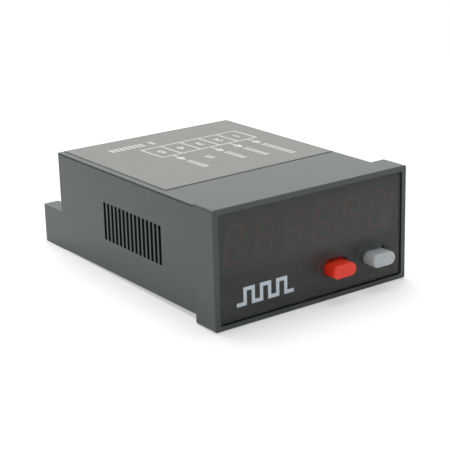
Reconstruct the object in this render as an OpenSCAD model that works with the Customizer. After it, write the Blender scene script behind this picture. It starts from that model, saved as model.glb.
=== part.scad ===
// Panel counter with a six-digit light-emitting display, two front keys and
// a five-way screw terminal, in a moulded housing for a rectangular cut-out.
// Origin: centre of the cut-out, in the plane of the panel's front face, which
// is the back face of the bezel. +Y runs back through the panel, +Z is up.

/* [Bezel] */
// Width of the bezel
bezel_w = 72; // [70:0.5:80]
// Height of the bezel
bezel_h = 36; // [35:0.5:44]
// Depth of the bezel, from its front to the panel
bezel_t = 9.5; // [9.5:0.1:14]
// Radius of the bezel's four corners
bezel_r = 0.8; // [0.4:0.1:2]
// Chamfer round the bezel's front edge
bezel_edge = 0.25; // [0.1:0.05:0.8]
// Rim of the bezel at each side of the window
rim_side = 1.8; // [1:0.1:2.5]
// Rim of the bezel above the window
rim_top = 1.7; // [1.2:0.05:2.2]
// Rim of the bezel below the window
rim_bottom = 1.55; // [1.2:0.05:2.2]

/* [Body] */
// Width of the body behind the panel
body_w = 68; // [67:0.5:69]
// Height of the body behind the panel
body_h = 33; // [32:0.5:34]
// Length of the body behind the panel, without the cheeks
body_l = 79.8; // [74:0.2:110]
// Radius of the body's four long edges
body_r = 0.3; // [0.2:0.1:1.4]
// Thickness of the body's walls
wall = 1.4; // [1.1:0.1:1.5]

/* [Rear cheeks] */
// Length of the cheeks behind the body
cheek_l = 11.9; // [11.6:0.1:20]
// Height of the cheeks from the underside of the body
cheek_h = 13; // [12.7:0.1:20]
// Thickness of each cheek
cheek_t = 5.5; // [3:0.1:6.5]

/* [Side vents] */
// Number of vents in each side
vent_count = 15; // [5:1:17]
// Width of one vent
vent_w = 1.4; // [0.8:0.05:1.6]
// Height of one vent
vent_h = 12.3; // [6:0.1:16]
// Distance from one vent to the next
vent_pitch = 2.22; // [2.1:0.01:2.5]
// Distance from the panel to the middle of the row of vents
vent_mid = 36.2; // [28:0.1:45]

/* [Window] */
// Thickness of the window
window_t = 2; // [1.5:0.1:2.5]
// Gap between the window and the rim, at each side
window_gap = 0.3; // [0.1:0.05:0.6]
// Gap between the window and the rim, above and below
window_slack = 0.45; // [0.1:0.05:0.6]
// Depth of the window's face behind the bezel's front
window_recess = 0.4; // [0:0.05:0.8]

/* [Keys] */
// Width of a key's cap
key_w = 8.8; // [7:0.1:10]
// Height of a key's cap
key_h = 4.2; // [3.4:0.1:4.8]
// Distance that a key's cap stands out from the window
key_stand = 4.6; // [3:0.1:7]
// Roundness of the cap's front edge
key_edge = 0.8; // [0.2:0.1:1]
// Distance from the middle of the window across to the reset key
key_x = 8.3; // [5.5:0.1:8.6]
// Distance from the reset key to the set key
key_pitch = 15.5; // [13.4:0.1:17]
// Distance from the middle of the window down to the keys
key_drop = 8.5; // [7.8:0.1:9]
// Travel of a key
key_travel = 1; // [0.5:0.1:1.1]
// Gap between a key and what it slides through
key_gap = 0.3; // [0.15:0.05:0.4]
// Width of the collar that holds a key behind the window
collar_rim = 0.9; // [0.6:0.1:1.2]
// Thickness of that collar
collar_t = 0.8; // [0.5:0.1:1.2]

/* [Key switches] */
// Side of a switch's square body
switch_w = 6.2; // [5.6:0.1:6.6]
// Height of a switch's base above the board
switch_t = 2.7; // [2.5:0.1:2.8]
// Thickness of a switch's cover plate
cover_t = 0.3; // [0.2:0.05:0.4]
// Radius of a switch's plunger
plunger_r = 1.7; // [1.2:0.1:1.8]
// Rim that holds the plunger under the cover plate
plunger_rim = 0.4; // [0.3:0.05:0.5]
// Thickness of that rim
plunger_rim_t = 0.5; // [0.3:0.05:0.6]
// Rise of the snap dome under the plunger
dome_rise = 0.3; // [0.2:0.05:0.4]
// Thickness of the snap dome
dome_t = 0.12; // [0.08:0.01:0.2]

/* [Display] */
// Gap between the row of digits and the body's wall, at each end
digit_side = 0.2; // [0.1:0.05:0.6]
// Gap between one digit's module and the next
module_gap = 0.1; // [0.05:0.05:0.3]
// Height of a digit
digit_h = 12; // [9:0.1:13]
// Width of a digit, before its slant
digit_w = 6.6; // [5:0.1:7]
// Slant of the digits, in degrees
digit_slant = 8; // [0:1:10]
// Width of one segment
segment_w = 1.3; // [0.8:0.1:1.6]
// Depth of the segments in the module
segment_t = 1; // [0.5:0.1:2]
// Gap between neighbouring segments
segment_gap = 0.35; // [0.2:0.05:0.6]
// Radius of the point beside a digit
point_r = 0.6; // [0.4:0.05:0.8]
// Height of one digit's module
module_h = 15.6; // [15:0.1:16]
// Depth of one digit's module
module_t = 6; // [5.8:0.1:6.6]
// Distance from the middle of the window up to the digits
digit_rise = 5.4; // [5.2:0.1:6.4]
// Gap between the window and the face of the digits
digit_gap = 0.6; // [0.2:0.1:1]

/* [Boards] */
// Thickness of the two circuit boards
board_t = 1.6; // [1:0.1:1.8]
// Gap round the boards
board_gap = 0.3; // [0.1:0.05:0.5]
// Space under the main board
board_foot = 2; // [1.6:0.1:2.6]
// Depth of the ribs that hold the main board
rib_d = 1.2; // [0.8:0.1:2]
// Height of the rib above the board's edge
rib_h = 1.1; // [0.8:0.1:2]
// Gap between the ribs and the board
rib_gap = 0.05; // [0.02:0.01:0.15]
// Number of pins that join the two boards
pin_count = 10; // [4:1:11]
// Distance from one pin to the next
pin_pitch = 2.54; // [2.3:0.01:2.6]
// Side of a square pin
pin_w = 0.6; // [0.4:0.05:0.7]
// Distance from the middle across to the left of the row of pins
pin_x = -16; // [-18:0.5:-15]

/* [Parts on the main board] */
// Side of the microcontroller's body
chip_w = 10; // [7:0.5:12]
// Thickness of the microcontroller's body
chip_t = 2; // [1.4:0.1:3]
// Leads on each side of the microcontroller
chip_leads = 11; // [6:1:11]
// Radius of the large capacitor
cap_big_r = 5; // [3:0.5:6]
// Height of the large capacitor
cap_big_h = 16; // [10:0.5:22]
// Radius of the small capacitor
cap_small_r = 4; // [2.5:0.5:4.5]
// Height of the small capacitor
cap_small_h = 11.5; // [7:0.5:16]
// Radius of the choke
choke_r = 5; // [3:0.5:6]
// Height of the choke
choke_h = 7; // [5:0.5:10]

/* [Terminals] */
// Distance from one terminal to the next
pole_pitch = 7.62; // [7:0.01:7.75]
// Gap between the terminal block and the right cheek
block_side = 1; // [0.4:0.1:5]
// Height of the terminal block
block_h = 11; // [10.8:0.1:11.2]
// Flare of each wire entry, all round
entry_flare = 0.6; // [0.2:0.1:0.9]
// Depth of that flare
entry_funnel = 1.4; // [0.6:0.1:2]
// Wall at the two ends of the terminal block
block_end = 0.45; // [0.2:0.05:0.6]
// Gap between the terminal block and the housing
block_gap = 0.25; // [0.1:0.05:0.4]
// Distance from the block's rear face to the ends of the cheeks
block_inset = 0.5; // [0.2:0.1:2]
// Radius of a terminal screw's shank
screw_r = 1.45; // [1.2:0.05:1.6]
// Running clearance between a screw and its clamp
thread_gap = 0.05; // [0.02:0.01:0.09]
// Radius of a terminal screw's head
head_r = 2.35; // [2:0.05:2.5]
// Height of a terminal screw's head
head_t = 1.55; // [1.2:0.05:1.7]
// Width of the cross slots in the head
driver_w = 0.7; // [0.5:0.05:0.9]
// Depth of the cross slots in the head
driver_t = 0.8; // [0.5:0.05:0.9]
// Width of a wire clamp
clamp_w = 5.4; // [5:0.05:5.6]
// Length of a wire clamp
clamp_l = 6; // [5:0.1:6.5]
// Thickness of a clamp's threaded top
clamp_top = 1.1; // [0.8:0.1:1.3]
// Thickness of a clamp's sides and bottom
clamp_t = 0.8; // [0.5:0.05:0.9]
// Height inside a wire clamp
clamp_open = 3.3; // [3.1:0.1:3.5]
// Travel of a clamp, from open to shut
clamp_travel = 1.5; // [0.8:0.1:1.5]
// Thickness of a contact bar
bar_t = 0.8; // [0.6:0.05:1]
// Width of a contact bar
bar_w = 2.6; // [2:0.1:3]

/* [Type label] */
// Width of the label on the top
label_w = 65; // [40:0.1:65.4]
// Length of the label
label_l = 58.6; // [30:0.1:70]
// Thickness of the label
label_t = 0.15; // [0.1:0.01:0.3]
// Distance from the body's middle across to the label's middle
label_x = 0.8; // [-1:0.05:1.2]
// Distance from the label to the body's rear edge
label_inset = 0.2; // [0:0.1:2]

/* [Hidden] */
$fn = 48;

// Allowance by which a cut runs past the face that it opens
cut = 1;

// Digits and terminals, as many as NODES names
digit_count = 6;
pole_count = 5;

// Depths along Y
front_y = -bezel_t;
window_y = front_y + window_recess;
ledge_y = window_y + window_t;
digit_y = ledge_y + digit_gap;
board_y = digit_y + module_t;
board_back = board_y + board_t;
rear_in = body_l - wall;
cheek_end = body_l + cheek_l;

// The hollow of the body
room_w = body_w - 2 * wall;
room_h = body_h - 2 * wall;
floor_z = -room_h / 2;

// The pocket that takes the window
pocket_w = bezel_w - 2 * rim_side;
pocket_h = bezel_h - rim_top - rim_bottom;
pocket_z = (rim_bottom - rim_top) / 2;

// The row of digits, which fills the body's width
digit_pitch = (room_w - 2 * digit_side) / digit_count;
module_w = digit_pitch - module_gap;

// The main board and the ribs that carry it
main_z = floor_z + board_foot;
main_top = main_z + board_t;
block_lead = 1.1;
main_y = board_back + board_gap;
block_front = rear_in - block_lead;
main_end = block_front - board_gap;
main_w = room_w - 2 * board_gap;

// Middles of the parts on the main board, across and back from the panel
chip_at = [2, 24];
crystal_at = [-9, 40];
cap_big_at = [-23, 30];
cap_small_at = [-23, 45];
choke_at = [23, 42];
regulator_at = [24, 62];
isolator_1_at = [-2, 62];
isolator_2_at = [9, 62];

// Keys and switches
key_z = -key_drop;
key_stop = 0.05;
collar_y = ledge_y + key_stop;
cover_y = board_y - switch_t - cover_t;
plunger_proud = 0.3;
plunger_gap = 0.1;
plunger_y = cover_y - key_travel - plunger_proud;
cavity_r = plunger_r + plunger_rim + plunger_gap;
cavity_t = plunger_rim_t + key_travel + dome_rise + plunger_gap;
hole_w = key_w + 2 * key_gap;
hole_h = key_h + 2 * key_gap;
collar_w = key_w + 2 * collar_rim;
collar_h = key_h + 2 * collar_rim;

// The button guide, under the row of digits
guide_top = digit_rise - module_h / 2 - board_gap;
guide_bottom = floor_z + board_gap;
guide_t = 1.2;
guide_wall = 0.8;
guide_spare = 0.2;

// Pins between the boards
pin_row = (pin_count - 1) * pin_pitch;
pin_rise = 1.4;
pin_tip = 0.8;
pin_z = main_top + pin_rise;
pin_drop = main_z - pin_tip;
header_y = main_y + 0.6;
header_t = 2.5;

// Terminals, measured from the floor of the bay and the axis of the screws
block_foot = 0.1;
block_floor = 1.1;
slide_gap = 0.1;
screw_back = 6.1;
shelf_t = 0.7;
head_gap = 0.35;
rest_gap = 0.05;
block_z = floor_z + block_foot;
block_top = block_z + block_h;
block_w = pole_count * pole_pitch + 2 * block_end;
block_x = body_w / 2 - cheek_t - block_side - block_w / 2;
block_end_y = cheek_end - block_inset;
screw_y = block_end_y - screw_back;
bay_l = clamp_l + 1;
bay_w = clamp_w + 2 * slide_gap;
bay_z = block_z + block_floor;
clamp_rest = bay_z + slide_gap;
clamp_h = clamp_top + clamp_open + clamp_t;
bay_top = clamp_rest + clamp_h + clamp_travel + 2 * slide_gap;
shelf_z = bay_top + shelf_t;
recess_r = head_r + head_gap;
head_z = shelf_z + rest_gap;
bar_top = clamp_rest + clamp_t + clamp_open - rest_gap;
bar_z = bar_top - bar_t;
bar_reach = 3.2;
bar_front = block_front - bar_reach;
bar_end = screw_y + clamp_l / 2 + slide_gap;
tail_w = 1;
tail_tip = 1.2;
tail_hole_r = 0.75;
thread_relief = 0.3;
entry_w = clamp_w - 2 * clamp_t - 2 * thread_relief;

function pole_x(i) = block_x + (i - (pole_count + 1) / 2) * pole_pitch;
function digit_x(i) = (i - (digit_count + 1) / 2) * digit_pitch;
function pin_at(i) = pin_x + (i - (pin_count + 1) / 2) * pin_pitch;

// ---------------------------------------------------------------- helpers

// Extrudes a flat shape drawn in X and Z from y0 back to y1
module run_y(y0, y1) {
    translate([0, y1, 0])
        rotate([90, 0, 0])
            linear_extrude(height = y1 - y0)
                children();
}

// A block from one corner to the other
module block(low, high) {
    translate(low)
        cube(high - low);
}

// A rectangle about the middle, with round corners
module round_rect(w, h, r) {
    square([w - 2 * r, h], center = true);
    square([w, h - 2 * r], center = true);
    for (x = [-1, 1], z = [-1, 1])
        translate([x * (w / 2 - r), z * (h / 2 - r)])
            circle(r = r);
}

// A slot shape with half-round ends
module stadium(w, h) {
    square([w - h, h], center = true);
    for (x = [-1, 1])
        translate([x * (w - h) / 2, 0])
            circle(d = h);
}

// A rectangle whose two lower corners are cut at 45 degrees
module chamfered(w, low, high, c) {
    polygon([[-w / 2 + c, low], [w / 2 - c, low], [w / 2, low + c],
        [w / 2, high], [-w / 2, high], [-w / 2, low + c]]);
}

// The right half of a rectangle, its lower corner rounded
module eased_half(w, low, high, r) {
    translate([0, low + r])
        square([w / 2, high - low - r]);
    translate([0, low])
        square([w / 2 - r, high - low]);
    translate([w / 2 - r, low + r])
        circle(r = r);
}

// A slot-shaped stud along Y, with a round edge all round its front at y0
module pill(w, h, y0, y1, r) {
    reach = (w - h) / 2;
    for (x = [-reach, reach])
        translate([x, 0, 0])
            rotate([-90, 0, 0])
                rotate_extrude()
                    eased_half(h, y0, y1, r);
    translate([-reach, 0, 0])
        rotate([90, 0, 90])
            linear_extrude(height = 2 * reach)
                for (side = [0, 1])
                    rotate(-90)
                        mirror([side, 0])
                            eased_half(h, y0, y1, r);
}

// ---------------------------------------------------------------- housing

// The bezel: a rounded block with a chamfer round its front edge
module bezel_block() {
    intersection() {
        run_y(front_y, 0)
            round_rect(bezel_w, bezel_h, bezel_r);
        translate([0, 0, -bezel_h])
            linear_extrude(height = 2 * bezel_h)
                chamfered(bezel_w, front_y, cut, bezel_edge);
        translate([-bezel_w, 0, 0])
            rotate([90, 0, 90])
                linear_extrude(height = 2 * bezel_w)
                    rotate(-90)
                        chamfered(bezel_h, front_y, cut, bezel_edge);
    }
}

// The side vents, as one row of cutters
module vents(side) {
    for (i = [0 : vent_count - 1]) {
        y = vent_mid + (i - (vent_count - 1) / 2) * vent_pitch;
        block([side * body_w / 2 - wall - cut, y - vent_w / 2, -vent_h / 2],
            [side * body_w / 2 + wall + cut, y + vent_w / 2, vent_h / 2]);
    }
}

// The ribs that hold one edge of the main board
module board_ribs(side) {
    outer = room_w / 2 + wall / 2;
    inner = room_w / 2 - rib_d;
    low = min(side * inner, side * outer);
    high = max(side * inner, side * outer);
    block([low, board_back, floor_z - wall / 2], [high, rear_in + wall / 2, main_z - rib_gap]);
    block([low, board_back, main_top + rib_gap],
        [high, rear_in + wall / 2, main_top + rib_gap + rib_h]);
}

// One cheek beside the terminals
module cheek(side) {
    outer = side * body_w / 2;
    inner = side * (body_w / 2 - cheek_t);
    block([min(outer, inner), body_l - wall, -body_h / 2],
        [max(outer, inner), cheek_end, -body_h / 2 + cheek_h]);
}

module housing() {
    color([0.36, 0.39, 0.39])
        difference() {
            union() {
                difference() {
                    union() {
                        bezel_block();
                        run_y(-1, body_l)
                            round_rect(body_w, body_h, body_r);
                        cheek(-1);
                        cheek(1);
                        block([-body_w / 2 + body_r, body_l - wall, -body_h / 2],
                            [body_w / 2 - body_r, cheek_end, floor_z]);
                    }
                    run_y(front_y - cut, ledge_y)
                        translate([0, pocket_z])
                            round_rect(pocket_w, pocket_h, bezel_r);
                    run_y(front_y - cut, rear_in)
                        square([room_w, room_h], center = true);
                    for (side = [-1, 1])
                        intersection() {
                            vents(side);
                            block([side > 0 ? 0 : -body_w, 0, -body_h],
                                [side > 0 ? body_w : 0, body_l, body_h]);
                        }
                }
                board_ribs(-1);
                board_ribs(1);
            }
            block([block_x - block_w / 2 - block_gap, rear_in - cut, floor_z],
                [block_x + block_w / 2 + block_gap, body_l + cut, block_top + block_gap]);
        }
}

module display_window() {
    color([0.27, 0.24, 0.25])
        run_y(window_y, ledge_y)
            difference() {
                translate([0, pocket_z])
                    round_rect(pocket_w - 2 * window_gap, pocket_h - 2 * window_slack,
                        bezel_r - window_gap / 2);
                for (i = [0, 1])
                    translate([key_x + i * key_pitch, key_z])
                        stadium(hole_w, hole_h);
            }
}

module type_label() {
    end = body_l - label_inset;
    color([0.64, 0.64, 0.62])
        block([label_x - label_w / 2, end - label_l, body_h / 2],
            [label_x + label_w / 2, end, body_h / 2 + label_t]);
}

// ---------------------------------------------------------------- keys

// A key: cap through the window, collar behind it and stem to the plunger
module key(x) {
    cap_y = window_y - key_stand;
    translate([x, 0, key_z]) {
        pill(key_w, key_h, cap_y, collar_y + collar_t / 2, key_edge);
        run_y(collar_y, collar_y + collar_t)
            stadium(collar_w, collar_h);
        run_y(collar_y + collar_t / 2, plunger_y)
            circle(r = plunger_r);
    }
}

module reset_button() {
    color([0.78, 0.26, 0.18])
        key(key_x);
}

module set_button() {
    color([0.65, 0.68, 0.69])
        key(key_x + key_pitch);
}

// The plunger, with the rim that keeps it under the cover plate
module plunger(x) {
    color([0.15, 0.15, 0.16])
        translate([x, 0, key_z]) {
            run_y(plunger_y, cover_y + cover_t + plunger_rim_t)
                circle(r = plunger_r);
            run_y(cover_y + cover_t, cover_y + cover_t + plunger_rim_t)
                circle(r = plunger_r + plunger_rim);
        }
}

module reset_plunger() {
    plunger(key_x);
}

module set_plunger() {
    plunger(key_x + key_pitch);
}

module switch_cover(x) {
    color([0.75, 0.76, 0.78])
        translate([x, 0, key_z])
            run_y(cover_y, cover_y + cover_t)
                difference() {
                    square(switch_w, center = true);
                    circle(r = plunger_r + plunger_gap);
                }
}

module reset_switch_cover() {
    switch_cover(key_x);
}

module set_switch_cover() {
    switch_cover(key_x + key_pitch);
}

module switch_base(x) {
    top = cover_y + cover_t;
    color([0.12, 0.12, 0.13])
        translate([x, 0, key_z])
            difference() {
                run_y(top, board_y)
                    square(switch_w, center = true);
                run_y(top - cut, top + cavity_t)
                    circle(r = cavity_r);
            }
}

module reset_switch_base() {
    switch_base(key_x);
}

module set_switch_base() {
    switch_base(key_x + key_pitch);
}

// The snap dome: a shallow cap of thin sheet on the floor of the switch
module snap_dome(x) {
    foot_r = cavity_r - plunger_gap;
    bend_r = (foot_r * foot_r + dome_rise * dome_rise) / (2 * dome_rise);
    floor_y = cover_y + cover_t + cavity_t;
    color([0.8, 0.8, 0.78])
        translate([x, floor_y, key_z])
            intersection() {
                translate([0, bend_r - dome_rise, 0])
                    difference() {
                        sphere(r = bend_r, $fn = 240);
                        sphere(r = bend_r - dome_t, $fn = 240);
                    }
                run_y(-dome_rise - cut, 0)
                    circle(r = foot_r);
            }
}

module reset_dome() {
    snap_dome(key_x);
}

module set_dome() {
    snap_dome(key_x + key_pitch);
}

// The guide: a tray across the window's lower half with a tunnel for each key
module button_guide() {
    w = room_w - 2 * board_gap;
    h = guide_top - guide_bottom;
    mid = (guide_top + guide_bottom) / 2;
    tunnel = collar_y + collar_t + key_travel + guide_spare;
    color([0.1, 0.1, 0.11])
        difference() {
            union() {
                difference() {
                    run_y(ledge_y, board_y)
                        translate([0, mid])
                            square([w, h], center = true);
                    run_y(ledge_y + guide_t, board_y + cut)
                        translate([0, mid])
                            square([w - 2 * guide_t, h - 2 * guide_t], center = true);
                }
                for (i = [0, 1])
                    run_y(ledge_y + guide_t / 2, tunnel)
                        translate([key_x + i * key_pitch, key_z])
                            stadium(collar_w + 2 * key_gap + 2 * guide_wall,
                                collar_h + 2 * key_gap + 2 * guide_wall);
            }
            for (i = [0, 1])
                run_y(ledge_y - cut, tunnel + cut)
                    translate([key_x + i * key_pitch, key_z])
                        stadium(collar_w + 2 * key_gap, collar_h + 2 * key_gap);
        }
}

// ---------------------------------------------------------------- display

// Points of one segment: along it, across it, then leant over by the slant
function lean(p) = [p[0] + p[1] * tan(digit_slant), p[1]];
function bar_h(l, s) = [[-l, 0], [-l + s, s], [l - s, s], [l, 0], [l - s, -s], [-l + s, -s]];
function bar_v(l, s) = [[0, -l], [s, -l + s], [s, l - s], [0, l], [-s, l - s], [-s, -l + s]];
function placed(points, x, z) = [for (p = points) lean([p[0] + x, p[1] + z])];

// The seven segments of a figure eight and its point
module figure_eight() {
    half = segment_w / 2;
    x = digit_w / 2 - half;
    z = digit_h / 2 - half;
    point_out = 0.4;
    for (k = [-1, 0, 1])
        polygon(placed(bar_h(x - segment_gap / 2, half), 0, k * z));
    for (kx = [-1, 1], kz = [-1, 1])
        polygon(placed(bar_v(z / 2 - segment_gap / 2, half), kx * x, kz * z / 2));
    translate([digit_w / 2 + point_out, -digit_h / 2 + point_r])
        circle(r = point_r);
}

module digit(i) {
    color([0.14, 0.14, 0.15])
        translate([digit_x(i), 0, digit_rise])
            difference() {
                run_y(digit_y, board_y)
                    square([module_w, module_h], center = true);
                run_y(digit_y - cut, digit_y + segment_t)
                    figure_eight();
            }
}

module segments(i) {
    color([0.62, 0.3, 0.28])
        translate([digit_x(i), 0, digit_rise])
            run_y(digit_y, digit_y + segment_t)
                figure_eight();
}

// ---------------------------------------------------------------- boards

module display_board() {
    color([0.12, 0.32, 0.2])
        difference() {
            run_y(board_y, board_back)
                square([room_w - 2 * board_gap, room_h - 2 * board_gap], center = true);
            for (i = [1 : pin_count])
                run_y(board_y - cut, board_back + cut)
                    translate([pin_at(i), pin_z])
                        circle(r = pin_w);
        }
}

module main_board() {
    color([0.12, 0.32, 0.2])
        difference() {
            block([-main_w / 2, main_y, main_z], [main_w / 2, main_end, main_top]);
            for (i = [1 : pin_count])
                translate([pin_at(i), header_y + header_t / 2, main_z - cut])
                    cylinder(r = pin_w, h = board_t + 2 * cut);
            for (i = [1 : pole_count])
                translate([pole_x(i), bar_front + bar_t / 2, main_z - cut])
                    cylinder(r = tail_hole_r, h = board_t + 2 * cut);
        }
}

// The strip that holds the right-angled pins
module board_header() {
    half = pin_row / 2 + pin_pitch / 2;
    color([0.1, 0.1, 0.11])
        difference() {
            block([pin_x - half, header_y, main_top],
                [pin_x + half, header_y + header_t, main_top + header_t]);
            for (i = [1 : pin_count])
                header_pin(i);
        }
}

// One right-angled pin from the display board down through the main board
module header_pin(i) {
    half = pin_w / 2;
    bend_y = header_y + header_t / 2;
    block([pin_at(i) - half, board_y - 0.6, pin_z - half],
        [pin_at(i) + half, bend_y + half, pin_z + half]);
    block([pin_at(i) - half, bend_y - half, pin_drop],
        [pin_at(i) + half, bend_y + half, pin_z]);
}

module header_pins() {
    color([0.8, 0.68, 0.36])
        for (i = [1 : pin_count])
            header_pin(i);
}

// A flat chip with leads on its four sides
module microcontroller() {
    foot = 0.2;
    lead_w = 0.36;
    lead_out = 1.2;
    lead_t = 0.2;
    edge = 0.8;
    pitch = (chip_w - 2 * edge) / (chip_leads - 1);
    color([0.09, 0.09, 0.1])
        translate([chip_at[0], chip_at[1], main_top]) {
            block([-chip_w / 2, -chip_w / 2, foot], [chip_w / 2, chip_w / 2, foot + chip_t]);
            for (turn = [0 : 90 : 270], i = [0 : chip_leads - 1])
                rotate(turn)
                    translate([(i - (chip_leads - 1) / 2) * pitch - lead_w / 2, 0, 0]) {
                        block([0, chip_w / 2 - lead_t, chip_t / 2],
                            [lead_w, chip_w / 2 + lead_out / 2, chip_t / 2 + lead_t]);
                        block([0, chip_w / 2 + lead_out / 2 - lead_t, 0],
                            [lead_w, chip_w / 2 + lead_out / 2, chip_t / 2 + lead_t]);
                        block([0, chip_w / 2 + lead_out / 2 - lead_t, 0],
                            [lead_w, chip_w / 2 + lead_out, lead_t]);
                    }
        }
}

module crystal() {
    can_l = 10.4;
    can_w = 4;
    can_h = 3.5;
    rim = 0.4;
    rim_t = 0.5;
    color([0.75, 0.76, 0.78])
        translate([crystal_at[0], crystal_at[1], main_top]) {
            linear_extrude(height = rim_t)
                stadium(can_l + 2 * rim, can_w + 2 * rim);
            linear_extrude(height = can_h)
                stadium(can_l, can_w);
        }
}

// A can capacitor: base bung, rolled neck and sleeve with a turned top edge
module can(r, h) {
    neck = 0.35;
    step = 0.4;
    lip = 1;
    dish = 0.3;
    rotate_extrude()
        polygon([[0, 0], [r - neck, 0], [r - neck, step], [r, 2 * step],
            [r, 2 * step + lip], [r - neck, 3 * step + lip], [r, 4 * step + lip],
            [r, h - step], [r - step, h], [r - lip, h], [r - lip, h - dish], [0, h - dish]]);
}

module capacitor_large() {
    color([0.13, 0.16, 0.3])
        translate([cap_big_at[0], cap_big_at[1], main_top])
            can(cap_big_r, cap_big_h);
}

module capacitor_small() {
    color([0.13, 0.16, 0.3])
        translate([cap_small_at[0], cap_small_at[1], main_top])
            can(cap_small_r, cap_small_h);
}

// A drum choke: two flanges and the winding between them
module choke() {
    flange = 1.2;
    waist = choke_r - 0.6;
    color([0.2, 0.19, 0.18])
        translate([choke_at[0], choke_at[1], main_top])
            rotate_extrude()
                polygon([[0, 0], [choke_r, 0], [choke_r, flange], [waist, flange],
                    [waist, choke_h - flange], [choke_r, choke_h - flange],
                    [choke_r, choke_h], [0, choke_h]]);
}

// An upright regulator: moulded body on a drilled tab, with three legs
module regulator() {
    w = 10;
    leg = 3;
    leg_w = 0.8;
    leg_t = 0.5;
    leg_pitch = 2.54;
    case_h = 9;
    case_t = 3.2;
    tab_h = 15;
    tab_t = 1.3;
    hole_r = 1.8;
    case_top = leg + case_h;
    tab_top = leg + tab_h;
    color([0.16, 0.16, 0.17])
        translate([regulator_at[0], regulator_at[1] - case_t / 2, main_top]) {
            block([-w / 2, 0, leg], [w / 2, case_t, case_top]);
            difference() {
                block([-w / 2, case_t, leg], [w / 2, case_t + tab_t, tab_top]);
                translate([0, 0, (case_top + tab_top) / 2])
                    run_y(case_t - cut, case_t + tab_t + cut)
                        circle(r = hole_r);
            }
            for (i = [-1, 0, 1])
                block([i * leg_pitch - leg_w / 2, case_t / 2, 0],
                    [i * leg_pitch + leg_w / 2, case_t / 2 + leg_t, leg + leg_t]);
        }
}

// A six-lead isolator between an input and the logic
module optocoupler(at) {
    half_w = 3.2;
    half_l = 4.4;
    foot = 0.5;
    top = 4;
    lead_w = 0.6;
    lead_t = 0.3;
    lead_x = 0.6;
    lead_z = 2.4;
    lead_pitch = 2.54;
    color([0.9, 0.9, 0.87])
        translate([at[0], at[1], main_top]) {
            block([-half_w, -half_l, foot], [half_w, half_l, top]);
            for (turn = [0, 180], i = [-1, 0, 1])
                rotate(turn)
                    translate([half_w, i * lead_pitch - lead_w / 2, 0]) {
                        block([lead_x - lead_t, 0, 0], [lead_x, lead_w, lead_z]);
                        block([-lead_t, 0, lead_z - lead_t], [lead_x, lead_w, lead_z]);
                    }
        }
}

// ---------------------------------------------------------------- terminals

// The mouth of a wire entry, which widens to the block's rear face
module entry_mouth() {
    low = clamp_rest + clamp_t;
    back = block_end_y - screw_y;
    mouth = back - entry_funnel;
    over = entry_flare * cut / entry_funnel;
    intersection() {
        translate([0, 0, low - block_h])
            linear_extrude(height = 2 * block_h)
                polygon([[-entry_w / 2, mouth], [entry_w / 2, mouth],
                    [entry_w / 2 + entry_flare + over, back + cut],
                    [-entry_w / 2 - entry_flare - over, back + cut]]);
        translate([-bay_w, 0, 0])
            rotate([90, 0, 90])
                linear_extrude(height = 2 * bay_w)
                    polygon([[mouth, low], [back + cut, low - entry_flare - over],
                        [back + cut, bar_z + entry_flare + over], [mouth, bar_z]]);
    }
}

// The moulding: a bay for each clamp, a recess for each screw head
module terminal_block() {
    color([0.17, 0.18, 0.18])
        difference() {
            block([block_x - block_w / 2, block_front, block_z],
                [block_x + block_w / 2, block_end_y, block_top]);
            for (i = [1 : pole_count])
                translate([pole_x(i), screw_y, 0]) {
                    block([-bay_w / 2, -bay_l / 2, bay_z], [bay_w / 2, bay_l / 2, bay_top]);
                    translate([0, 0, bay_top - cut])
                        cylinder(r = screw_r + 2 * slide_gap, h = shelf_t + 2 * cut);
                    translate([0, 0, shelf_z])
                        cylinder(r = recess_r, h = block_top - shelf_z + cut);
                    block([-entry_w / 2, 0, clamp_rest + clamp_t],
                        [entry_w / 2, block_end_y - screw_y + cut, bar_z]);
                    entry_mouth();
                    block([-bar_w / 2 - slide_gap, block_front - screw_y - cut,
                        bar_z - slide_gap], [bar_w / 2 + slide_gap, 0, bar_top + slide_gap]);
                }
        }
}

// A captive screw with a cross-slotted head
module terminal_screw(i) {
    cross = 0.65 * head_r;
    color([0.76, 0.77, 0.79])
        translate([pole_x(i), screw_y, 0])
            difference() {
                union() {
                    translate([0, 0, bar_top + slide_gap])
                        cylinder(r = screw_r, h = head_z + rest_gap - bar_top);
                    translate([0, 0, head_z])
                        cylinder(r = head_r, h = head_t);
                }
                block([-driver_w / 2, -head_r - cut, head_z + head_t - driver_t],
                    [driver_w / 2, head_r + cut, head_z + head_t + cut]);
                block([-cross, -driver_w / 2, head_z + head_t - driver_t],
                    [cross, driver_w / 2, head_z + head_t + cut]);
            }
}

// A clamp: a box open front and back, threaded in its top, that lifts the wire
module wire_clamp(i) {
    color([0.72, 0.7, 0.62])
        translate([pole_x(i), screw_y, clamp_rest])
            difference() {
                block([-clamp_w / 2, -clamp_l / 2, 0], [clamp_w / 2, clamp_l / 2, clamp_h]);
                block([-clamp_w / 2 + clamp_t, -clamp_l / 2 - cut, clamp_t],
                    [clamp_w / 2 - clamp_t, clamp_l / 2 + cut, clamp_t + clamp_open]);
                translate([0, 0, clamp_t + clamp_open - cut])
                    cylinder(r = screw_r + thread_gap, h = clamp_top + 2 * cut);
            }
}

// A contact bar: under the screw's tip, forward and down through the board
module contact(i) {
    color([0.8, 0.68, 0.36])
        translate([pole_x(i), 0, 0]) {
            block([-bar_w / 2, bar_front, bar_z], [bar_w / 2, bar_end, bar_top]);
            block([-tail_w / 2, bar_front, main_z - tail_tip],
                [tail_w / 2, bar_front + bar_t, bar_top]);
        }
}

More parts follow.
